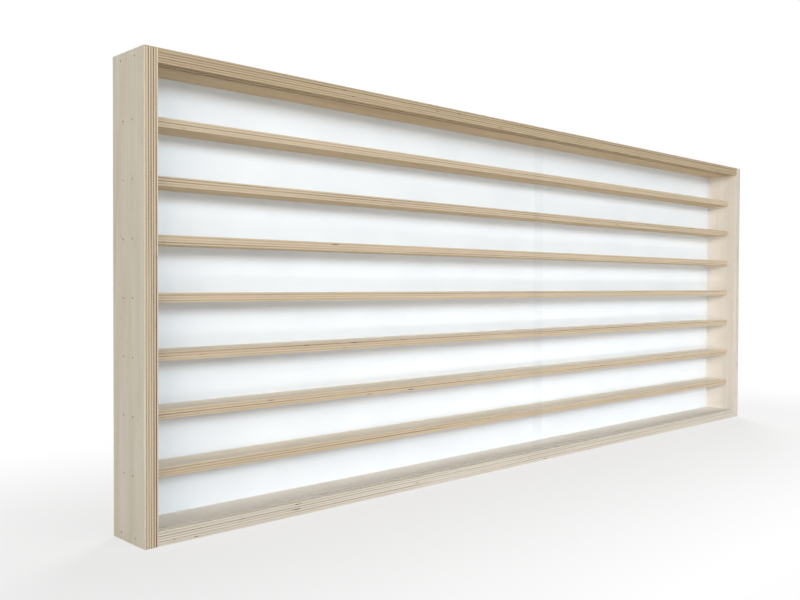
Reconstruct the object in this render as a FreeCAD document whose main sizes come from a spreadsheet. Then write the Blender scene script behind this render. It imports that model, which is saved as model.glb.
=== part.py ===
"""A wall display case: a plywood frame with fixed shelves, a white back and two clear sliding panes.

Frame: origin at the centre of the case's underside, +X to the right, +Y to the wall, +Z up.
Lengths are in millimetres.
"""

import FreeCAD
import Part
import Sketcher
import os
import re

SHELF_COUNT = 7
PINS_PER_SHELF = 5

# Driving sizes, each written once
SIZES = {
    # Boards
    "inner_width": 1270.0,
    "compartment_height": 50.0,
    "shelf_thickness": 10.0,
    "shelf_depth": 42.0,
    "side_thickness": 15.0,
    "board_thickness": 15.0,
    "board_edge_round": 0.8,
    "shelf_edge_round": 0.5,
    # Back panel, let into grooves all round
    "back_thickness": 3.0,
    "back_recess": 5.0,
    "back_groove_depth": 5.0,
    "back_edge_clearance": 0.5,
    "back_face_clearance": 0.2,
    # Sliding panes and the grooves that guide them
    "pane_thickness": 3.0,
    "pane_face_clearance": 0.5,
    "pane_end_clearance": 0.5,
    "pane_overlap": 30.0,
    "pane_arris": 0.3,
    "front_land": 4.5,
    "middle_land": 4.5,
    "shelf_gap": 1.0,
    "lower_groove_depth": 4.0,
    "pane_engagement": 4.0,
    "lift_clearance": 1.0,
    # Brads through the sides into the shelves and the two end boards
    "brad_radius": 0.7,
    "brad_length": 34.0,
    "brad_head_radius": 1.0,
    "brad_head_thickness": 1.0,
    "brad_sink": 0.6,
    "brad_clearance": 0.05,
    "brad_tip_clearance": 0.5,
    "shelf_brad_front": 7.0,
    "shelf_brad_spacing": 20.0,
    "board_brad_front": 20.0,
    "board_brad_spacing": 30.0,
    # Pins through the back panel into the shelves
    "pin_radius": 0.7,
    "pin_length": 18.0,
    "pin_head_radius": 2.0,
    "pin_head_thickness": 0.8,
    "pin_clearance": 0.05,
    "pin_tip_clearance": 0.5,
    "pin_inset": 75.0,
    # Keyhole plates let into the top board's rear edge, and their screws
    "hanger_width": 44.0,
    "hanger_height": 34.0,
    "hanger_thickness": 1.5,
    "hanger_corner": 3.0,
    "hanger_inset": 85.0,
    "hanger_drop": 2.0,
    "hanger_clearance": 0.2,
    "keyhole_radius": 4.5,
    "keyhole_slot_radius": 2.3,
    "keyhole_rise": 7.0,
    "keyhole_height": 9.0,
    "screw_radius": 1.5,
    "screw_length": 16.0,
    "screw_head_rise": 1.2,
    "screw_clearance": 0.1,
    "screw_tip_clearance": 0.5,
    "screw_spacing": 28.0,
    "screw_drop": 5.0,
    "recess_length": 2.6,
    "recess_width": 0.7,
    "recess_depth": 0.7,
}

# Sizes that follow from the driving ones
LAYOUT = {
    "case_width": "inner_width + 2 * side_thickness",
    "shelf_pitch": "compartment_height + shelf_thickness",
    "inner_height": f"{SHELF_COUNT} * shelf_pitch + compartment_height",
    "case_height": "inner_height + 2 * board_thickness",
    "pane_groove_width": "pane_thickness + 2 * pane_face_clearance",
    "rear_groove_front": "front_land + pane_groove_width + middle_land",
    "shelf_front": "rear_groove_front + pane_groove_width + shelf_gap",
    "back_front": "shelf_front + shelf_depth",
    "case_depth": "back_front + back_thickness + back_recess",
    "front_plane": "-case_depth / 2",
    "inner_left": "-inner_width / 2",
    "first_shelf_height": "board_thickness + compartment_height",
    "upper_groove_depth": "lower_groove_depth + pane_engagement + lift_clearance",
    "pane_height": "lower_groove_depth + inner_height + pane_engagement",
    "pane_width": "(inner_width + pane_overlap) / 2 - pane_end_clearance",
    "pane_seat": "board_thickness - lower_groove_depth",
    "back_tongue": "back_groove_depth - back_edge_clearance",
    "back_width": "inner_width + 2 * back_tongue",
    "back_height": "inner_height + 2 * back_tongue",
    "back_groove_width": "back_thickness + back_face_clearance",
    "brad_hole_radius": "brad_radius + brad_clearance",
    "brad_head_hole_radius": "brad_head_radius + brad_clearance",
    "brad_head_depth": "brad_sink + brad_head_thickness",
    "brad_hole_depth": "brad_head_depth + brad_length - side_thickness + brad_tip_clearance",
    "pin_hole_radius": "pin_radius + pin_clearance",
    "pin_hole_depth": "pin_length - back_thickness + pin_tip_clearance",
    "pin_pitch": f"(inner_width - 2 * pin_inset) / {PINS_PER_SHELF - 1}",
    "screw_hole_radius": "screw_radius + screw_clearance",
    "screw_head_radius": "screw_radius + screw_head_rise",
    "screw_hole_depth": "screw_length - hanger_thickness + screw_tip_clearance",
    "hanger_far_inset": "inner_width - hanger_inset - hanger_width",
    "rebate_width": "hanger_width + 2 * hanger_clearance",
}

COUNTERSINK_TAPER = -45.0
TOLERANCE = 1e-6

doc = FreeCAD.newDocument("DisplayCase")
sheet = doc.addObject("Spreadsheet::Sheet", "Sizes")


def fill_sheet():
    """Writes the driving sizes as plain numbers, then the sizes that follow as formulas."""
    texts = {alias: str(number) for alias, number in SIZES.items()}
    texts.update({alias: "=" + formula for alias, formula in LAYOUT.items()})
    for row, (alias, text) in enumerate(texts.items(), start=1):
        sheet.set(f"A{row}", alias)
        sheet.set(f"B{row}", text)
        sheet.setAlias(f"B{row}", alias)
    doc.recompute()


def bind(thing, name, formula):
    """Ties a property to a formula in the sheet's aliases."""
    thing.setExpression(name, re.sub(r"[a-z]\w*", r"Sizes.\g<0>", formula))


def new_body(label, x, y, z):
    """Starts a sub-part whose local origin lies at x, y, z of the case."""
    body = doc.addObject("PartDesign::Body", label)
    body.Label = label
    body.AllowCompound = True
    for axis, formula in zip("xyz", (x, y, z)):
        bind(body, f"Placement.Base.{axis}", formula)
    return body


def turn_over(body):
    """Turns a sub-part half a turn about its depth, which swaps left and right, and up and down."""
    body.Placement.Rotation = FreeCAD.Rotation(FreeCAD.Vector(0, 1, 0), 180)


def sketch_on(body, role, lift="0"):
    """Adds a sketch on one of the body's origin planes, moved along that plane's normal."""
    sketch = body.newObject("Sketcher::SketchObject", "Sketch")
    plane = next(f for f in body.Origin.OriginFeatures if f.Role == role)
    sketch.AttachmentSupport = [(plane, "")]
    sketch.MapMode = "FlatFace"
    bind(sketch, "AttachmentOffset.Base.z", lift)
    return sketch


def dimension(sketch, constraint, name, formula):
    """Adds one named dimension that follows a formula."""
    index = sketch.addConstraint(constraint)
    sketch.renameConstraint(index, name)
    bind(sketch, f"Constraints.{name}", formula)


def place_point(sketch, geometry, point, across, up):
    """Dimensions a point from the sketch's origin."""
    for kind, formula, axis in (("DistanceX", across, -2), ("DistanceY", up, -1)):
        if formula == "0":
            sketch.addConstraint(Sketcher.Constraint("PointOnObject", geometry, point, axis))
        else:
            constraint = Sketcher.Constraint(kind, -1, 1, geometry, point, 1.0)
            dimension(sketch, constraint, f"{kind}{geometry}", formula)


def add_rectangle(sketch, left, low, width, height):
    """Adds a rectangle with its lower left corner at left, low."""
    first = sketch.GeometryCount
    corners = [FreeCAD.Vector(*xy, 0) for xy in ((0, 0), (1, 0), (1, 1), (0, 1))]
    for start, end in zip(corners, corners[1:] + corners[:1]):
        sketch.addGeometry(Part.LineSegment(start, end), False)
    for side in range(4):
        following = first + (side + 1) % 4
        sketch.addConstraint(Sketcher.Constraint("Coincident", first + side, 2, following, 1))
        direction = "Horizontal" if side % 2 == 0 else "Vertical"
        sketch.addConstraint(Sketcher.Constraint(direction, first + side))
    place_point(sketch, first, 1, left, low)
    across = Sketcher.Constraint("DistanceX", first, 1, first, 2, 1.0)
    dimension(sketch, across, f"Width{first}", width)
    upward = Sketcher.Constraint("DistanceY", first + 1, 1, first + 1, 2, 1.0)
    dimension(sketch, upward, f"Height{first}", height)


def add_circle(sketch, across, up, radius):
    """Adds a circle with its centre at across, up."""
    circle = Part.Circle(FreeCAD.Vector(0, 0, 0), FreeCAD.Vector(0, 0, 1), 1.0)
    index = sketch.addGeometry(circle, False)
    place_point(sketch, index, 3, across, up)
    dimension(sketch, Sketcher.Constraint("Radius", index, 1.0), f"Radius{index}", radius)


def pad(body, sketch, length, reverse=False, taper=0.0):
    """Raises a sketch into a solid."""
    feature = body.newObject("PartDesign::Pad", "Pad")
    feature.Profile = sketch
    feature.Reversed = reverse
    feature.TaperAngle = taper
    bind(feature, "Length", length)
    return feature


def pocket(body, sketch, depth, reverse=False):
    """Cuts a sketch into the body."""
    feature = body.newObject("PartDesign::Pocket", "Pocket")
    feature.Profile = sketch
    feature.Reversed = reverse
    bind(feature, "Length", depth)
    return feature


def dress_edges(body, kind, name, formula, wanted):
    """Rounds or bevels the edges of the body so far that wanted picks."""
    base = body.Tip
    doc.recompute()
    edges = enumerate(base.Shape.Edges, start=1)
    names = [f"Edge{number}" for number, edge in edges if wanted(edge)]
    feature = body.newObject(f"PartDesign::{kind}", kind)
    feature.Base = (base, names)
    bind(feature, name, formula)
    body.Tip = feature


def box(body, width, depth, height):
    """Makes the body's main block from its local origin."""
    sketch = sketch_on(body, "XY_Plane")
    add_rectangle(sketch, "0", "0", width, depth)
    pad(body, sketch, height)


def round_holes(body, role, lift, places, radius, depth, reverse=False):
    """Drills a hole of one size at each place."""
    sketch = sketch_on(body, role, lift)
    for across, up in places:
        add_circle(sketch, across, up, radius)
    pocket(body, sketch, depth, reverse)


def round_rods(body, role, lift, places, radius, length, reverse=False, taper=0.0):
    """Raises a round rod of one size at each place."""
    sketch = sketch_on(body, role, lift)
    for across, up in places:
        add_circle(sketch, across, up, radius)
    pad(body, sketch, length, reverse, taper)


def shelf_height(index):
    """Height of a shelf's underside above the floor, counted from the bottom shelf."""
    return f"first_shelf_height + {index} * shelf_pitch"


def side_brad_places():
    """Depth and height of each brad in a side panel."""
    shelf_first = "shelf_front + shelf_brad_front"
    board_first = "board_brad_front"
    places = []
    for index in range(SHELF_COUNT):
        middle = shelf_height(index) + " + shelf_thickness / 2"
        places.append((shelf_first, middle))
        places.append((shelf_first + " + shelf_brad_spacing", middle))
    for middle in ("board_thickness / 2", "case_height - board_thickness / 2"):
        places.append((board_first, middle))
        places.append((board_first + " + board_brad_spacing", middle))
    return places


def end_brad_holes(body, first, spacing, thickness):
    """Drills the brads' holes into both ends of a board or shelf."""
    middle = thickness + " / 2"
    places = [(first, middle), (f"{first} + {spacing}", middle)]
    round_holes(body, "YZ_Plane", "0", places, "brad_hole_radius", "brad_hole_depth", reverse=True)
    round_holes(body, "YZ_Plane", "inner_width", places, "brad_hole_radius", "brad_hole_depth")


def groove_along(body, front, width, top, depth):
    """Cuts a groove along the whole length of a board, open at its upper face."""
    sketch = sketch_on(body, "YZ_Plane")
    add_rectangle(sketch, front, f"{top} - {depth}", width, depth)
    pocket(body, sketch, "inner_width", reverse=True)


def at_left_side(label):
    """Starts a sub-part in the left side panel's place: x inwards from its outer face."""
    return new_body(label, "-case_width / 2", "front_plane", "0")


def at_right_side(label):
    """Starts a sub-part in the right side panel's place, which is the left one turned over."""
    body = new_body(label, "case_width / 2", "front_plane", "case_height")
    turn_over(body)
    return body


def make_side_panel(body):
    """An upright board with a groove for the back panel and holes for its brads."""
    box(body, "side_thickness", "case_depth", "case_height")
    dress_edges(body, "Fillet", "Radius", "board_edge_round", lambda e: e.BoundBox.XMin < TOLERANCE)
    sketch = sketch_on(body, "XY_Plane", "board_thickness - back_groove_depth")
    groove_left = "side_thickness - back_groove_depth"
    add_rectangle(sketch, groove_left, "back_front", "back_groove_depth", "back_groove_width")
    pocket(body, sketch, "inner_height + 2 * back_groove_depth", reverse=True)
    places = side_brad_places()
    round_holes(body, "YZ_Plane", "0", places, "brad_hole_radius", "side_thickness", reverse=True)
    round_holes(body, "YZ_Plane", "0", places, "brad_head_hole_radius", "brad_head_depth", reverse=True)
    return body


def make_side_brads(body):
    """The brads of one side: a head set below the surface and a plain shank."""
    places = side_brad_places()
    round_rods(body, "YZ_Plane", "brad_sink", places, "brad_head_radius", "brad_head_thickness")
    round_rods(body, "YZ_Plane", "brad_head_depth", places, "brad_radius", "brad_length")
    return body


def make_end_board(body, groove_depth):
    """A top or bottom board, made with its inner face up: three grooves and its brads' holes."""
    box(body, "inner_width", "case_depth", "board_thickness")
    dress_edges(body, "Fillet", "Radius", "board_edge_round", lambda e: e.BoundBox.XLength > TOLERANCE)
    groove_along(body, "front_land", "pane_groove_width", "board_thickness", groove_depth)
    groove_along(body, "rear_groove_front", "pane_groove_width", "board_thickness", groove_depth)
    groove_along(body, "back_front", "back_groove_width", "board_thickness", "back_groove_depth")
    end_brad_holes(body, "board_brad_front", "board_brad_spacing", "board_thickness")
    return body


def screw_places():
    """Length along the top board and depth below its outer face of each hanger screw."""
    places = []
    for inset in ("hanger_inset", "hanger_far_inset"):
        middle = f"{inset} + hanger_width / 2"
        height = "hanger_drop + screw_drop"
        places.append((middle + " - screw_spacing / 2", height))
        places.append((middle + " + screw_spacing / 2", height))
    return places


def at_top_board(label):
    """Starts a sub-part in the top board's place, which lies with its inner face down."""
    body = new_body(label, "inner_width / 2", "front_plane", "case_height")
    turn_over(body)
    return body


def make_top_panel():
    """The top board, with the hangers' rebates and screw holes in its rear edge."""
    body = make_end_board(at_top_board("top_panel"), "upper_groove_depth")
    low = "hanger_drop - hanger_clearance"
    sketch = sketch_on(body, "XZ_Plane", "-case_depth")
    for inset in ("hanger_inset", "hanger_far_inset"):
        left = inset + " - hanger_clearance"
        add_rectangle(sketch, left, low, "rebate_width", f"board_thickness - ({low})")
    pocket(body, sketch, "hanger_thickness", reverse=True)
    lift = "hanger_thickness - case_depth"
    round_holes(body, "XZ_Plane", lift, screw_places(), "screw_hole_radius", "screw_hole_depth", reverse=True)
    return body


def make_bottom_panel():
    """The bottom board, with the panes' shallower grooves in its upper face."""
    body = new_body("bottom_panel", "inner_left", "front_plane", "0")
    return make_end_board(body, "lower_groove_depth")


def pin_places(left, middle):
    """Length and height of each pin along one shelf."""
    return [(f"{left} + pin_inset + {index} * pin_pitch", middle) for index in range(PINS_PER_SHELF)]


def make_shelf(number):
    """A shelf, numbered from the top, with eased front edges and its brads' and pins' holes."""
    height = shelf_height(SHELF_COUNT - number)
    body = new_body(f"shelf_{number}", "inner_left", "front_plane + shelf_front", height)
    box(body, "inner_width", "shelf_depth", "shelf_thickness")
    dress_edges(
        body,
        "Fillet",
        "Radius",
        "shelf_edge_round",
        lambda e: e.BoundBox.YMax < TOLERANCE and e.BoundBox.XLength > TOLERANCE,
    )
    end_brad_holes(body, "shelf_brad_front", "shelf_brad_spacing", "shelf_thickness")
    places = pin_places("0", "shelf_thickness / 2")
    round_holes(body, "XZ_Plane", "-shelf_depth", places, "pin_hole_radius", "pin_hole_depth", reverse=True)
    return body


def at_back(label):
    """Starts a sub-part at the back panel's lower left front corner."""
    x = "inner_left - back_tongue"
    return new_body(label, x, "front_plane + back_front", "board_thickness - back_tongue")


def back_pin_places():
    """Length and height of each pin in the back panel."""
    places = []
    for index in range(SHELF_COUNT):
        middle = f"back_tongue + compartment_height + {index} * shelf_pitch + shelf_thickness / 2"
        places += pin_places("back_tongue", middle)
    return places


def make_back_panel():
    """The thin back panel with its pins' holes."""
    body = at_back("back_panel")
    box(body, "back_width", "back_thickness", "back_height")
    places = back_pin_places()
    round_holes(body, "XZ_Plane", "-back_thickness", places, "pin_hole_radius", "back_thickness", reverse=True)
    return body


def make_back_pins():
    """Flat-headed pins that hold the back panel to the shelves."""
    body = at_back("back_panel_pins")
    places = back_pin_places()
    head_lift = "-back_thickness - pin_head_thickness"
    round_rods(body, "XZ_Plane", head_lift, places, "pin_head_radius", "pin_head_thickness")
    round_rods(body, "XZ_Plane", "-back_thickness", places, "pin_radius", "pin_length")
    return body


def make_pane(label, x, groove_front):
    """A clear pane standing in its lower groove, with bevelled edges."""
    y = f"front_plane + {groove_front} + pane_face_clearance"
    body = new_body(label, x, y, "pane_seat")
    box(body, "pane_width", "pane_thickness", "pane_height")
    dress_edges(body, "Chamfer", "Size", "pane_arris", lambda e: True)
    return body


def is_rear_screw_rim(edge):
    """True for the rim of a screw hole at a keyhole plate's rear face."""
    at_rear = edge.BoundBox.YMin > sheet.get("hanger_thickness") - TOLERANCE
    is_circle = isinstance(edge.Curve, Part.Circle)
    return at_rear and is_circle and abs(edge.Curve.Radius - sheet.get("screw_hole_radius")) < TOLERANCE


def make_hanger_plate(label, x):
    """A flat plate with a keyhole below and two countersunk screw holes above."""
    y = "-front_plane - hanger_thickness"
    body = new_body(label, x, y, "case_height - hanger_drop - hanger_height")
    box(body, "hanger_width", "hanger_thickness", "hanger_height")
    dress_edges(body, "Fillet", "Radius", "hanger_corner", lambda e: e.BoundBox.YLength > TOLERANCE)
    lift = "-hanger_thickness"
    middle = "hanger_width / 2"
    height = "hanger_height - screw_drop"
    screws = [(f"{middle} {sign} screw_spacing / 2", height) for sign in "-+"]
    round_holes(body, "XZ_Plane", lift, screws, "screw_hole_radius", "hanger_thickness", reverse=True)
    dress_edges(body, "Chamfer", "Size", "screw_head_rise", is_rear_screw_rim)
    entry = [(middle, "keyhole_height")]
    round_holes(body, "XZ_Plane", lift, entry, "keyhole_radius", "hanger_thickness", reverse=True)
    slot_end = [(middle, "keyhole_height + keyhole_rise")]
    round_holes(body, "XZ_Plane", lift, slot_end, "keyhole_slot_radius", "hanger_thickness", reverse=True)
    slot = sketch_on(body, "XZ_Plane", lift)
    left = middle + " - keyhole_slot_radius"
    add_rectangle(slot, left, "keyhole_height", "2 * keyhole_slot_radius", "keyhole_rise")
    pocket(body, slot, "hanger_thickness", reverse=True)
    return body


def make_hanger_screws():
    """Countersunk screws that hold the keyhole plates, each with a cross recess."""
    body = at_top_board("hanger_screws")
    places = screw_places()
    rear = "-case_depth"
    shank_lift = "screw_head_rise - case_depth"
    shank = "screw_length - screw_head_rise"
    round_rods(body, "XZ_Plane", rear, places, "screw_head_radius", "screw_head_rise", taper=COUNTERSINK_TAPER)
    round_rods(body, "XZ_Plane", shank_lift, places, "screw_radius", shank)
    for width, height in (("recess_length", "recess_width"), ("recess_width", "recess_length")):
        sketch = sketch_on(body, "XZ_Plane", rear)
        for across, up in places:
            add_rectangle(sketch, f"{across} - {width} / 2", f"{up} - {height} / 2", width, height)
        pocket(body, sketch, "recess_depth", reverse=True)
    return body


def make_all():
    """Makes every sub-part of the case."""
    shelves = [make_shelf(number) for number in range(1, SHELF_COUNT + 1)]
    left_pane_x = "inner_left + pane_end_clearance"
    right_pane_x = "-inner_left - pane_end_clearance - pane_width"
    right_hanger_x = "-inner_left - hanger_inset - hanger_width"
    return shelves + [
        make_side_panel(at_left_side("left_side_panel")),
        make_side_panel(at_right_side("right_side_panel")),
        make_side_brads(at_left_side("left_side_brads")),
        make_side_brads(at_right_side("right_side_brads")),
        make_top_panel(),
        make_bottom_panel(),
        make_back_panel(),
        make_back_pins(),
        make_pane("left_sliding_pane", left_pane_x, "rear_groove_front"),
        make_pane("right_sliding_pane", right_pane_x, "front_land"),
        make_hanger_plate("left_hanger_plate", "inner_left + hanger_inset"),
        make_hanger_plate("right_hanger_plate", right_hanger_x),
        make_hanger_screws(),
    ]


def check(bodies):
    """Stops if a feature failed, a cut removed nothing or a sub-part is not a sound solid."""
    for thing in doc.Objects:
        if "Invalid" in thing.State or "Error" in thing.State:
            raise RuntimeError(f"{thing.Label} failed: {thing.State}")
        if thing.TypeId == "PartDesign::Pocket":
            removed = thing.BaseFeature.Shape.Volume - thing.Shape.Volume
            if removed < TOLERANCE:
                raise RuntimeError(f"{thing.Label} cuts nothing")
    for body in bodies:
        if body.Shape.isNull() or not body.Shape.isValid():
            raise RuntimeError(f"{body.Label} has no valid shape")


def write(bodies):
    """Writes each sub-part to its own file and prints what it holds."""
    os.makedirs("parts", exist_ok=True)
    for body in bodies:
        body.Shape.exportStep(f"parts/{body.Label}.step")
        print(f"{body.Label}: {len(body.Shape.Solids)} solids, {body.Shape.Volume:.1f} cubic mm")


fill_sheet()
sub_parts = make_all()
doc.recompute()
check(sub_parts)
write(sub_parts)
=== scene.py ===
import math
from typing import NamedTuple
import bpy
from mathutils import Matrix, Vector


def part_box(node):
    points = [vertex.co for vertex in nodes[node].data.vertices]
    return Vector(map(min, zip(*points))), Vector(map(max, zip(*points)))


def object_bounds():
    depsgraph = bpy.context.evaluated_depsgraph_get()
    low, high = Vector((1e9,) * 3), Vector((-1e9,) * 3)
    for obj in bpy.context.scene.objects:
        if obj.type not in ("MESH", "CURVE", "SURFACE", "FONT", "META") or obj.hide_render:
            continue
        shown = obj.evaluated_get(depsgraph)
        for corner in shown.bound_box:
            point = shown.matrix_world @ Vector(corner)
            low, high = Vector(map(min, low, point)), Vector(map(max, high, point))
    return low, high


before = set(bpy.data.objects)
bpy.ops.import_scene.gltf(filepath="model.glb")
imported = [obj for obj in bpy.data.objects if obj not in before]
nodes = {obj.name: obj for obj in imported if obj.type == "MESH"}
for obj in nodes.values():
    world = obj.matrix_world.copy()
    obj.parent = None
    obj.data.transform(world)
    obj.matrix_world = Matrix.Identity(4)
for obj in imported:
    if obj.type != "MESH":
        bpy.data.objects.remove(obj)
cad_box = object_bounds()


def srgb(red, green, blue):
    """A linear colour from 0 to 255 display values."""
    def linear(value):
        share = value / 255
        if share <= 0.04045:
            return share / 12.92
        return ((share + 0.055) / 1.055) ** 2.4

    return (linear(red), linear(green), linear(blue), 1.0)


def grey(level):
    """A linear grey."""
    return (level, level, level, 1.0)


class Shader:
    """Builds one material's nodes."""

    def __init__(self, name):
        self.material = bpy.data.materials.new(name)
        self.material.use_nodes = True
        self.tree = self.material.node_tree
        self.tree.nodes.clear()
        self.output = self.tree.nodes.new("ShaderNodeOutputMaterial").inputs["Surface"]
        self.surface = self.tree.nodes.new("ShaderNodeBsdfPrincipled")
        self.put(self.output, self.surface.outputs["BSDF"])
        coordinates = self.tree.nodes.new("ShaderNodeTexCoord")
        self.place = coordinates.outputs["Object"]
        self.normal = coordinates.outputs["Normal"]

    def put(self, socket, value):
        """Links a socket or sets a plain value."""
        if isinstance(value, bpy.types.NodeSocket):
            self.tree.links.new(value, socket)
        else:
            socket.default_value = value

    def set(self, name, value):
        """Feeds one input of the surface."""
        self.put(self.surface.inputs[name], value)

    def split(self, vector):
        """The three parts of a vector."""
        node = self.tree.nodes.new("ShaderNodeSeparateXYZ")
        self.put(node.inputs[0], vector)
        return list(node.outputs)

    def math(self, operation, first, second=0.0, third=0.0):
        """One step of arithmetic."""
        node = self.tree.nodes.new("ShaderNodeMath")
        node.operation = operation
        for socket, value in zip(node.inputs, (first, second, third)):
            self.put(socket, value)
        return node.outputs[0]

    def vector(self, operation, first, second):
        """One step of arithmetic on vectors."""
        node = self.tree.nodes.new("ShaderNodeVectorMath")
        node.operation = operation
        self.put(node.inputs[0], first)
        self.put(node.inputs[1], second)
        return node.outputs[0]

    def span(self, value, low, high, out_low=0.0, out_high=1.0):
        """Maps a stretch of values smoothly onto another, and holds the ends."""
        node = self.tree.nodes.new("ShaderNodeMapRange")
        node.interpolation_type = "SMOOTHSTEP"
        for socket, number in zip(node.inputs, (value, low, high, out_low, out_high)):
            self.put(socket, number)
        return node.outputs[0]

    def noise(self, vector, detail, roughness, distortion=0.0):
        """Fractal noise around a half, one wave per unit of the vector."""
        node = self.tree.nodes.new("ShaderNodeTexNoise")
        self.put(node.inputs["Vector"], vector)
        node.inputs["Scale"].default_value = 1.0
        node.inputs["Detail"].default_value = detail
        node.inputs["Roughness"].default_value = roughness
        node.inputs["Distortion"].default_value = distortion
        return node.outputs["Fac"]

    def even_noise(self, waves, detail, roughness):
        """Fractal noise with the same number of waves per metre each way."""
        return self.noise(self.vector("MULTIPLY", self.place, (waves, waves, waves)), detail, roughness)

    def random(self, value):
        """A steady random number from 0 to 1 for each value."""
        node = self.tree.nodes.new("ShaderNodeTexWhiteNoise")
        node.noise_dimensions = "1D"
        self.put(node.inputs["W"], value)
        return node.outputs["Value"]

    def blend(self, share, first, second, kind="MIX"):
        """Mixes two colours."""
        node = self.tree.nodes.new("ShaderNodeMix")
        node.data_type = "RGBA"
        node.blend_type = kind
        self.put(node.inputs[0], share)
        self.put(node.inputs[6], first)
        self.put(node.inputs[7], second)
        return node.outputs[2]

    def bump(self, height, strength, distance):
        """Roughens the surface's normal."""
        node = self.tree.nodes.new("ShaderNodeBump")
        node.inputs["Strength"].default_value = strength
        node.inputs["Distance"].default_value = distance
        self.put(node.inputs["Height"], height)
        self.set("Normal", node.outputs[0])


AXES = "xyz"

# The stretch that most of a noise's values lie in
MOST = (0.3, 0.7)

# Plywood: how many plies each kind of board has, and the seeds of its noise
FRAME_PLIES = 11
SHELF_PLIES = 7
SEED_STEP = 3.0
FIRST_FRAME_SEED = 1
FIRST_SHELF_SEED = 20
SEED_SHIFT = (7.3, 3.1, 5.7)
PAIR_SEED = 11.0

# Veneers: the light and the dark of their figure. The plain veneer is the wood's own; the fine veneer on the
# inner faces and the upper veneer on the shelves' tops are lighter, as painted light, and the under veneer
# on the undersides is darker and warmer, as painted shade
LIT_FINE_VENEER = (srgb(249, 243, 235), srgb(234, 226, 212))
PLAIN_VENEER = (srgb(241, 237, 223), srgb(220, 212, 192))
LIT_UPPER_VENEER = (srgb(249, 240, 225), srgb(229, 214, 190))
SHADED_UNDER_VENEER = (srgb(210, 186, 148), srgb(181, 151, 108))

# Plies on the edges, and tones that make them lighter or darker in red, green and blue: the dark tone on the
# top panel's edges is painted shade, and the pale tone on the bottom panel's and right side panel's edges is
# painted cool light
PLY_LONG = srgb(233, 217, 190)
PLY_END = srgb(104, 77, 52)
PLY_GLUE = srgb(84, 60, 42)
PLY_VOID = srgb(52, 36, 26)
PLAIN_TONE = (0.92, 0.91, 0.91)
WARM_TONE = (0.97, 0.93, 0.88)
SHADED_DARK_TONE = (0.73, 0.68, 0.60)
LIT_PALE_TONE = (1.05, 1.15, 1.34)
SHELF_CONTRAST = 0.55


class Grain(NamedTuple):
    """Noise in wood: its seed, its waves per metre and its fineness, and the values that it acts between."""
    seed: int
    along: float
    across: float
    through: float
    detail: float
    roughness: float
    distortion: float = 0.0
    start: float = 0.0
    full: float = 1.0


# Figure of a veneer, and how much each layer of it darkens the wood
FIGURE = Grain(0, 1.4, 11.0, 0.0, detail=2.0, roughness=0.45, distortion=0.3)
FIBRES = Grain(1, 7.0, 420.0, 40.0, detail=4.0, roughness=0.65, start=0.35, full=0.75)
CLOUDS = Grain(2, 2.5, 26.0, 0.0, detail=3.0, roughness=0.55, start=0.3, full=0.75)
FLECKS = Grain(3, 80.0, 1100.0, 60.0, detail=1.0, roughness=0.5, start=0.64, full=0.76)
RING_COUNT = 44.0
RING_START = -0.6
RING_FULL = 1.0
RING_SHARPNESS = 3.0
CLOUD_SHADE = 0.42
RING_SHADE = 0.16
FIBRE_SHADE = 0.36
FLECK_SHADE = 0.62
FLECK_COVER = 0.40

# Plies: where the cross ply starts and ends in a pair of plies, and how far the plies wander, in pairs
CROSS_PLY_FROM = 0.55
CROSS_PLY_TO = 0.97
PLY_BLUR = 0.035
WANDER = Grain(4, 3.0, 3.0, 60.0, detail=2.0, roughness=0.5)
WANDER_REACH = 0.20

# Streaks on long-grain plies, specks and worn patches on end-grain plies, and small voids
STREAKS = Grain(5, 5.0, 5.0, 1500.0, detail=3.0, roughness=0.65, start=0.3, full=0.75)
SPECKS = Grain(6, 700.0, 700.0, 900.0, detail=2.0, roughness=0.7, start=0.25, full=0.75)
PATCHES = Grain(7, 5.0, 5.0, 330.0, detail=2.0, roughness=0.5, start=0.25, full=0.62)
VOIDS = Grain(8, 45.0, 45.0, 420.0, detail=1.0, roughness=0.5, start=0.725, full=0.75)
STREAK_SHADE = 0.30
LONG_VARIATION = 0.12
SPECK_SHADE = 0.30
END_SHADE = 0.32
END_VARIATION = 0.70
PATCH_LEAST = 0.45
MIDDLE_SHADE = 0.30

# Glue between plies, in pairs of plies from the joint
GLUE_SHADE = 0.45
GLUE_DARK_TO = 0.01
GLUE_FADED_AT = 0.06

# How far a normal turns towards an axis where a surface counts as a face, an end or the upper side
FACE_TURN = (0.55, 0.8)
END_TURN = (0.4, 0.6)
SIDE_TURN = (-0.1, 0.1)

# Gloss and relief of wood
WOOD_ROUGHNESS = (0.58, 0.72)
WOOD_SPECULAR = 0.22
PLY_RELIEF = -0.6
WOOD_BUMP = 0.18
WOOD_RELIEF = 0.0004


def shaded(colour, tone):
    """A colour with its red, green and blue each made lighter or darker."""
    return tuple(part * factor for part, factor in zip(colour, tone)) + (1.0,)


class Plywood:
    """One plywood board: its thickness and grain axes, its plies and the veneers on its two faces."""

    def __init__(self, name, thick, grain, plies, contrast, tone, low_veneer, high_veneer, seed):
        low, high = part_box(name)
        self.thick = AXES.index(thick)
        self.grain = AXES.index(grain)
        self.cross = next(axis for axis in range(len(AXES)) if axis not in (self.thick, self.grain))
        self.low = low[self.thick]
        self.thickness = high[self.thick] - low[self.thick]
        self.plies = plies
        self.contrast = contrast
        self.tone = tone
        self.low_veneer = low_veneer
        self.high_veneer = high_veneer
        self.seed = seed


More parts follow.
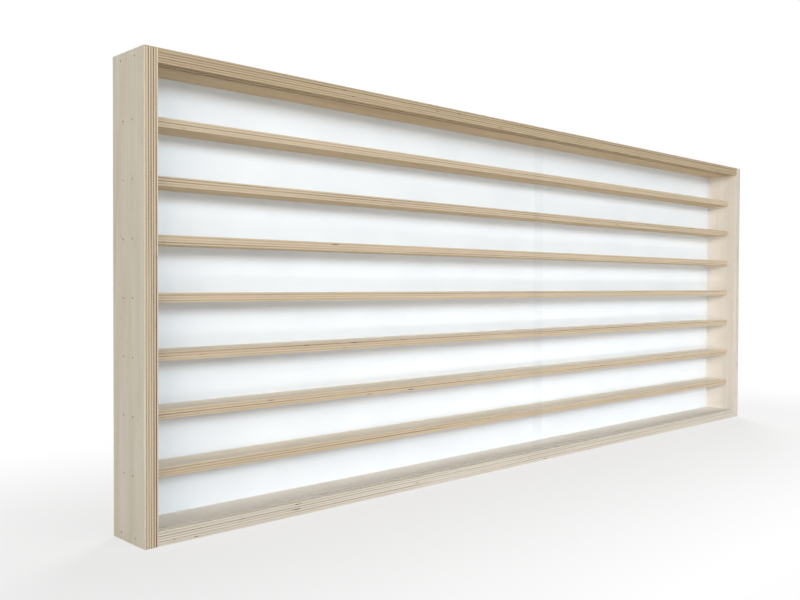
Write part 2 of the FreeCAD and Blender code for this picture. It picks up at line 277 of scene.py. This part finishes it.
def grain_noise(shader, board, grain):
    """Noise stretched along a board's grain, across it and through its thickness."""
    waves = [0.0, 0.0, 0.0]
    waves[board.grain] = grain.along
    waves[board.cross] = grain.across
    waves[board.thick] = grain.through
    shift = tuple((board.seed + grain.seed) * step for step in SEED_SHIFT)
    place = shader.vector("ADD", shader.vector("MULTIPLY", shader.place, waves), shift)
    return shader.noise(place, grain.detail, grain.roughness, grain.distortion)


def grain_share(shader, board, grain):
    """How far that noise has come from its start to its full effect, from 0 to 1."""
    return shader.span(grain_noise(shader, board, grain), grain.start, grain.full)


def turned(shader, axis):
    """How far the surface faces along an axis, either way."""
    return shader.math("ABSOLUTE", shader.split(shader.normal)[axis])


def face_colour(shader, board, fibres):
    """Rotary-cut birch: a faint broad figure, fine fibres and short flecks along the grain, with painted
    light and shade in the veneer chosen for each face.
    """
    rings = shader.math("MULTIPLY", grain_noise(shader, board, FIGURE), RING_COUNT)
    rings = shader.span(shader.math("SINE", rings), RING_START, RING_FULL)
    rings = shader.math("POWER", rings, RING_SHARPNESS)
    shade = shader.math("MULTIPLY", grain_share(shader, board, CLOUDS), CLOUD_SHADE)
    shade = shader.math("MULTIPLY_ADD", rings, RING_SHADE, shade)
    fibre_share = shader.span(fibres, FIBRES.start, FIBRES.full)
    shade = shader.math("MULTIPLY_ADD", fibre_share, FIBRE_SHADE, shade)
    # Which way the face looks picks its veneer: painted shade on undersides, painted light on inner and
    # upper faces
    side = shader.span(shader.split(shader.normal)[board.thick], *SIDE_TURN)
    light, dark = (shader.blend(side, low, high) for low, high in zip(board.low_veneer, board.high_veneer))
    base = shader.blend(shade, light, dark)
    dash = shader.math("MULTIPLY", grain_share(shader, board, FLECKS), FLECK_COVER)
    fleck = shader.blend(1.0, dark, grey(FLECK_SHADE), "MULTIPLY")
    return shader.blend(dash, base, fleck)


def ply_place(shader, board):
    """The number of the pair of plies at a point of an edge, and how far into that pair the point lies."""
    depth = shader.math("SUBTRACT", shader.split(shader.place)[board.thick], board.low)
    place = shader.math("MULTIPLY", depth, board.plies / board.thickness / 2)
    wander = grain_noise(shader, board, WANDER)
    wander = shader.math("MULTIPLY_ADD", wander, WANDER_REACH, -WANDER_REACH / 2)
    place = shader.math("ADD", place, wander)
    pair = shader.math("FLOOR", place)
    return pair, shader.math("SUBTRACT", place, pair)


def end_grain(shader, board, inside):
    """1 where a ply shows its end grain: the cross plies on a long edge, the others on a board's end."""
    start = shader.span(inside, CROSS_PLY_FROM - PLY_BLUR, CROSS_PLY_FROM + PLY_BLUR)
    stop = shader.span(inside, CROSS_PLY_TO - PLY_BLUR, CROSS_PLY_TO + PLY_BLUR)
    cross_ply = shader.math("SUBTRACT", start, stop)
    on_end = shader.span(turned(shader, board.grain), *END_TURN)
    return shader.math("ABSOLUTE", shader.math("SUBTRACT", cross_ply, on_end))


def glue_lines(shader, board, inside):
    """Thin dark lines where two plies meet."""
    rise = shader.math("ABSOLUTE", shader.math("SUBTRACT", inside, CROSS_PLY_FROM))
    fall = shader.math("ABSOLUTE", shader.math("SUBTRACT", inside, CROSS_PLY_TO))
    away = shader.math("MINIMUM", rise, fall)
    return shader.span(away, GLUE_DARK_TO, GLUE_FADED_AT, GLUE_SHADE * board.contrast, 0.0)


def edge_colour(shader, board):
    """Plies on a board's edge: long-grain plies pale and streaked, end-grain plies dark and speckled."""
    pair, inside = ply_place(shader, board)
    end_ply = end_grain(shader, board, inside)
    variation = shader.random(shader.math("ADD", pair, board.seed * PAIR_SEED))
    pale = shader.math("MULTIPLY", grain_share(shader, board, STREAKS), STREAK_SHADE)
    pale = shader.math("MULTIPLY_ADD", variation, LONG_VARIATION, pale)
    dark = shader.math("MULTIPLY_ADD", grain_share(shader, board, SPECKS), SPECK_SHADE, END_SHADE)
    dark = shader.math("MULTIPLY_ADD", variation, END_VARIATION, dark)
    patches = grain_noise(shader, board, PATCHES)
    dark = shader.math("MULTIPLY", dark, shader.span(patches, PATCHES.start, PATCHES.full, PATCH_LEAST, 1.0))
    stripe = shader.math("MULTIPLY_ADD", shader.math("SUBTRACT", dark, pale), end_ply, pale)
    shade = shader.math("MULTIPLY_ADD", stripe, board.contrast, MIDDLE_SHADE * (1 - board.contrast))
    # The board's tone paints light and shade on its edges: darker on the top panel, paler and bluer on the
    # bottom and right side panels
    colour = shader.blend(shade, shaded(PLY_LONG, board.tone), shaded(PLY_END, board.tone))
    colour = shader.blend(glue_lines(shader, board, inside), colour, PLY_GLUE)
    void = shader.math("MULTIPLY", grain_share(shader, board, VOIDS), end_ply)
    return shader.blend(void, colour, PLY_VOID), stripe


def plywood_material(name, board):
    """Birch plywood with veneer on its faces and plies on its edges."""
    shader = Shader(name)
    fibres = grain_noise(shader, board, FIBRES)
    face = face_colour(shader, board, fibres)
    edge, stripe = edge_colour(shader, board)
    on_face = shader.span(turned(shader, board.thick), *FACE_TURN)
    shader.set("Base Color", shader.blend(on_face, edge, face))
    shader.set("Roughness", shader.span(fibres, *MOST, *WOOD_ROUGHNESS))
    shader.set("Specular IOR Level", WOOD_SPECULAR)
    relief = shader.math("MULTIPLY_ADD", stripe, PLY_RELIEF, fibres)
    shader.bump(relief, WOOD_BUMP, WOOD_RELIEF)
    return shader.material


# Back panel: the light and the dark of its white front and its brown rear
BOARD_WHITE = (srgb(241, 247, 253), srgb(237, 243, 250))
BOARD_BROWN = (srgb(150, 113, 76), srgb(112, 80, 52))
BOARD_BLOTCH = srgb(128, 92, 58)
BOARD_FIBRE_WAVES = 420.0
BOARD_BLOTCH_WAVES = 14.0
BLOTCH_START = 0.35
BLOTCH_FULL = 0.75
BLOTCH_COVER = 0.4
FRONT_TURN = (-0.7, -0.5)
BOARD_ROUGHNESS = (0.36, 0.46)
BOARD_BUMP = 0.08
BOARD_RELIEF = 0.0003


def white_board_material():
    """Hardboard with a smooth white front and a bare brown rear."""
    shader = Shader("white_board")
    fibres = shader.even_noise(BOARD_FIBRE_WAVES, detail=4.0, roughness=0.65)
    blotches = shader.even_noise(BOARD_BLOTCH_WAVES, detail=3.0, roughness=0.5)
    white = shader.blend(shader.span(blotches, *MOST), *BOARD_WHITE)
    brown = shader.blend(shader.span(fibres, *MOST), *BOARD_BROWN)
    blotch_share = shader.span(blotches, BLOTCH_START, BLOTCH_FULL, 0.0, BLOTCH_COVER)
    brown = shader.blend(blotch_share, brown, BOARD_BLOTCH)
    toward_wall = shader.split(shader.normal)[AXES.index("y")]
    front = shader.span(toward_wall, *FRONT_TURN, 1.0, 0.0)
    shader.set("Base Color", shader.blend(front, brown, white))
    shader.set("Roughness", shader.span(fibres, *MOST, *BOARD_ROUGHNESS))
    shader.bump(fibres, BOARD_BUMP, BOARD_RELIEF)
    return shader.material


# Panes, with smears in waves per metre
ACRYLIC_COLOUR = srgb(196, 204, 206)
ACRYLIC_ALPHA = 0.018
ACRYLIC_IOR = 1.49
ACRYLIC_ROUGHNESS = (0.12, 0.2)
SMEAR_WAVES = (9.0, 9.0, 4.0)
SMEAR_START = 0.35
SMEAR_FULL = 0.75


def acrylic_material():
    """Clear polished sheet with the faintest smears."""
    shader = Shader("clear_acrylic")
    place = shader.vector("MULTIPLY", shader.place, SMEAR_WAVES)
    smears = shader.noise(place, detail=4.0, roughness=0.6, distortion=0.8)
    shader.set("Base Color", ACRYLIC_COLOUR)
    shader.set("Alpha", ACRYLIC_ALPHA)
    shader.set("IOR", ACRYLIC_IOR)
    shader.set("Roughness", shader.span(smears, SMEAR_START, SMEAR_FULL, *ACRYLIC_ROUGHNESS))
    return shader.material


# Metal: the light and the dark of each steel, waves per metre of its clouding, and its roughness
WIRE_COLOURS = (srgb(128, 119, 108), srgb(88, 80, 71))
WIRE_WAVES = 900.0
WIRE_ROUGHNESS = (0.38, 0.6)
ZINC_COLOURS = (srgb(206, 208, 212), srgb(168, 171, 176))
ZINC_WAVES = 260.0
ZINC_ROUGHNESS = (0.25, 0.42)
STEEL_BUMP = 0.1
STEEL_RELIEF = 0.0001


def steel_material(name, colours, waves, roughness):
    """Plain or plated steel with uneven tone and gloss."""
    shader = Shader(name)
    cloud = shader.even_noise(waves, detail=3.0, roughness=0.6)
    shader.set("Base Color", shader.blend(shader.span(cloud, *MOST), *colours))
    shader.set("Metallic", 1.0)
    shader.set("Roughness", shader.span(cloud, *MOST, *roughness))
    shader.bump(cloud, STEEL_BUMP, STEEL_RELIEF)
    return shader.material


def dress(name, material):
    """Gives a node one material."""
    mesh = nodes[name].data
    mesh.materials.clear()
    mesh.materials.append(material)


def dress_board(name, thick, grain, plies, contrast, tone, low_veneer, high_veneer, seed):
    """Gives a board its plywood."""
    board = Plywood(name, thick, grain, plies, contrast, tone, low_veneer, high_veneer, seed * SEED_STEP)
    dress(name, plywood_material(name, board))


def dress_boards():
    """Plywood on every board: axes of thickness and grain, number, contrast and tone of plies, veneers."""
    # Low and high faces take their veneers here: the under veneer paints shade on undersides, the fine and
    # upper veneers paint light on inner and upper faces
    frame_boards = {
        # Edge tones: the dark tone paints shade on the top panel's edges, the pale tone paints cool light on
        # the right side and bottom panels' edges
        "left_side_panel": ("x", "z", FRAME_PLIES, 1.0, PLAIN_TONE, PLAIN_VENEER, LIT_FINE_VENEER),
        "right_side_panel": ("x", "z", FRAME_PLIES, 0.8, LIT_PALE_TONE, LIT_FINE_VENEER, PLAIN_VENEER),
        "top_panel": ("z", "x", FRAME_PLIES, 0.78, SHADED_DARK_TONE, SHADED_UNDER_VENEER, PLAIN_VENEER),
        "bottom_panel": ("z", "x", FRAME_PLIES, 0.5, LIT_PALE_TONE, SHADED_UNDER_VENEER, LIT_FINE_VENEER),
    }
    for seed, (name, looks) in enumerate(frame_boards.items(), start=FIRST_FRAME_SEED):
        dress_board(name, *looks, seed)
    shelf_looks = ("z", "x", SHELF_PLIES, SHELF_CONTRAST, WARM_TONE, SHADED_UNDER_VENEER, LIT_UPPER_VENEER)
    shelves = sorted(name for name in nodes if name.startswith("shelf_"))
    for seed, name in enumerate(shelves, start=FIRST_SHELF_SEED):
        dress_board(name, *shelf_looks, seed)


def dress_fittings():
    """Back panel, panes and metal pieces."""
    dress("back_panel", white_board_material())
    acrylic = acrylic_material()
    for name in ("left_sliding_pane", "right_sliding_pane"):
        dress(name, acrylic)
    wire = steel_material("wire_steel", WIRE_COLOURS, WIRE_WAVES, WIRE_ROUGHNESS)
    for name in ("left_side_brads", "right_side_brads", "back_panel_pins"):
        dress(name, wire)
    zinc = steel_material("zinc_steel", ZINC_COLOURS, ZINC_WAVES, ZINC_ROUGHNESS)
    for name in ("left_hanger_plate", "right_hanger_plate", "hanger_screws"):
        dress(name, zinc)


# Camera, in metres and degrees: it stands left of the case and looks along its open front
CAMERA_PLACE = (-1.0632, -0.8287, 0.2652)
CAMERA_YAW = 43.845
CAMERA_PITCH = -1.048
CAMERA_ROLL = 0.204
CAMERA_NEAREST = 0.01
FOCAL_PIXELS = 870.3
IMAGE_WIDTH = 800
SENSOR_WIDTH = 36.0


def add_camera():
    """The photograph's viewpoint."""
    yaw, pitch, roll = (math.radians(angle) for angle in (CAMERA_YAW, CAMERA_PITCH, CAMERA_ROLL))
    ahead = Vector((math.sin(yaw) * math.cos(pitch), math.cos(yaw) * math.cos(pitch), math.sin(pitch)))
    level = Vector((math.cos(yaw), -math.sin(yaw), 0.0))
    up = level.cross(ahead)
    right = math.cos(roll) * level + math.sin(roll) * up
    up = right.cross(ahead)
    data = bpy.data.cameras.new("camera")
    data.sensor_width = SENSOR_WIDTH
    data.lens = FOCAL_PIXELS / IMAGE_WIDTH * SENSOR_WIDTH
    data.clip_start = CAMERA_NEAREST
    camera = bpy.data.objects.new("camera", data)
    turn = Matrix((right, up, -ahead)).transposed().to_4x4()
    camera.matrix_world = Matrix.Translation(CAMERA_PLACE) @ turn
    bpy.context.scene.collection.objects.link(camera)
    bpy.context.scene.camera = camera


class Lamp(NamedTuple):
    """A soft rectangular lamp: place, aim and size in metres, power in watts, and colour."""
    place: tuple
    aim: tuple
    width: float
    height: float
    power: float
    colour: tuple


# Light on the case
AMBIENT = 0.02
WARM = (1.0, 0.93, 0.86)
COOL = (0.85, 0.94, 1.0)
PLAIN = (1.0, 1.0, 1.0)
CASE_MIDDLE = (0.0, 0.0, 0.20)
CASE_FOOT = (0.3, 0.0, 0.0)
LAMPS = {
    "left_lamp": Lamp((-3.3, -2.0, 0.94), CASE_MIDDLE, width=2.6, height=0.55, power=65.0, colour=WARM),
    "front_lamp": Lamp((0.0, -3.8, 1.37), CASE_MIDDLE, width=2.4, height=0.95, power=54.0, colour=COOL),
    "right_lamp": Lamp((1.2, -3.2, 1.60), CASE_MIDDLE, width=2.4, height=1.6, power=33.0, colour=PLAIN),
    "low_lamp": Lamp((0.3, -0.5, 0.04), CASE_FOOT, width=1.5, height=0.06, power=1.0, colour=PLAIN),
    "back_lamp": Lamp((2.7, 2.2, 3.00), CASE_MIDDLE, width=1.8, height=1.2, power=110.0, colour=PLAIN),
}


def add_lamps():
    """Three broad lamps before the case, a narrow one low down near its foot, and a high one behind it."""
    for name, lamp in LAMPS.items():
        data = bpy.data.lights.new(name, "AREA")
        data.shape = "RECTANGLE"
        data.size = lamp.width
        data.size_y = lamp.height
        data.energy = lamp.power
        data.color = lamp.colour
        lamp_object = bpy.data.objects.new(name, data)
        turn = (Vector(lamp.aim) - Vector(lamp.place)).to_track_quat("-Z", "Y")
        lamp_object.matrix_world = Matrix.Translation(lamp.place) @ turn.to_matrix().to_4x4()
        bpy.context.scene.collection.objects.link(lamp_object)


def seen_share(tree):
    """1 for rays that show the backdrop itself: from the camera, in gloss and through clear sheet."""
    path = tree.nodes.new("ShaderNodeLightPath")
    total = path.outputs["Is Camera Ray"]
    for name in ("Is Glossy Ray", "Is Transmission Ray"):
        node = tree.nodes.new("ShaderNodeMath")
        node.operation = "MAXIMUM"
        tree.links.new(total, node.inputs[0])
        tree.links.new(path.outputs[name], node.inputs[1])
        total = node.outputs[0]
    return total


def set_world():
    """White where it is seen, and a plain soft level where it lights the case."""
    world = bpy.data.worlds.new("studio")
    world.use_nodes = True
    bpy.context.scene.world = world
    tree = world.node_tree
    background = tree.nodes["Background"]
    background.inputs["Color"].default_value = grey(1.0)
    strength = tree.nodes.new("ShaderNodeMapRange")
    tree.links.new(seen_share(tree), strength.inputs["Value"])
    strength.inputs["To Min"].default_value = AMBIENT
    strength.inputs["To Max"].default_value = 1.0
    tree.links.new(strength.outputs[0], background.inputs["Strength"])


# Floor, in metres: beside the case it shows mostly white, and beyond the shadow's reach only white
FLOOR_HALF = 30.0
FLOOR_DROP = 0.0005
FLOOR_SHADE = 0.75
FLOOR_ROUGHNESS = 0.9
SHADOW_REACH = 0.6
WHITE_BESIDE_CASE = 0.70


def add_floor():
    """A pale floor that keeps the case's shadow and fades to the white background."""
    mesh = bpy.data.meshes.new("floor")
    corners = [(-1, -1), (1, -1), (1, 1), (-1, 1)]
    mesh.from_pydata([(x * FLOOR_HALF, y * FLOOR_HALF, -FLOOR_DROP) for x, y in corners], [], [(0, 1, 2, 3)])
    floor = bpy.data.objects.new("floor", mesh)
    bpy.context.scene.collection.objects.link(floor)
    shader = Shader("floor")
    shader.set("Base Color", grey(FLOOR_SHADE))
    shader.set("Roughness", FLOOR_ROUGHNESS)
    x, y, _ = shader.split(shader.place)
    beside = shader.math("MAXIMUM", shader.math("SUBTRACT", shader.math("ABSOLUTE", x), cad_box[1].x), 0.0)
    away = shader.math("SQRT", shader.math("MULTIPLY_ADD", y, y, shader.math("MULTIPLY", beside, beside)))
    fade = shader.span(away, 0.0, SHADOW_REACH, WHITE_BESIDE_CASE, 1.0)
    glow = shader.tree.nodes.new("ShaderNodeEmission")
    mix = shader.tree.nodes.new("ShaderNodeMixShader")
    shader.put(mix.inputs[0], shader.math("MULTIPLY", fade, seen_share(shader.tree)))
    shader.put(mix.inputs[1], shader.surface.outputs["BSDF"])
    shader.put(mix.inputs[2], glow.outputs[0])
    shader.put(shader.output, mix.outputs[0])
    mesh.materials.append(shader.material)


dress_boards()
dress_fittings()
add_camera()
set_world()
add_floor()
add_lamps()
bpy.context.scene.view_settings.view_transform = "Standard"
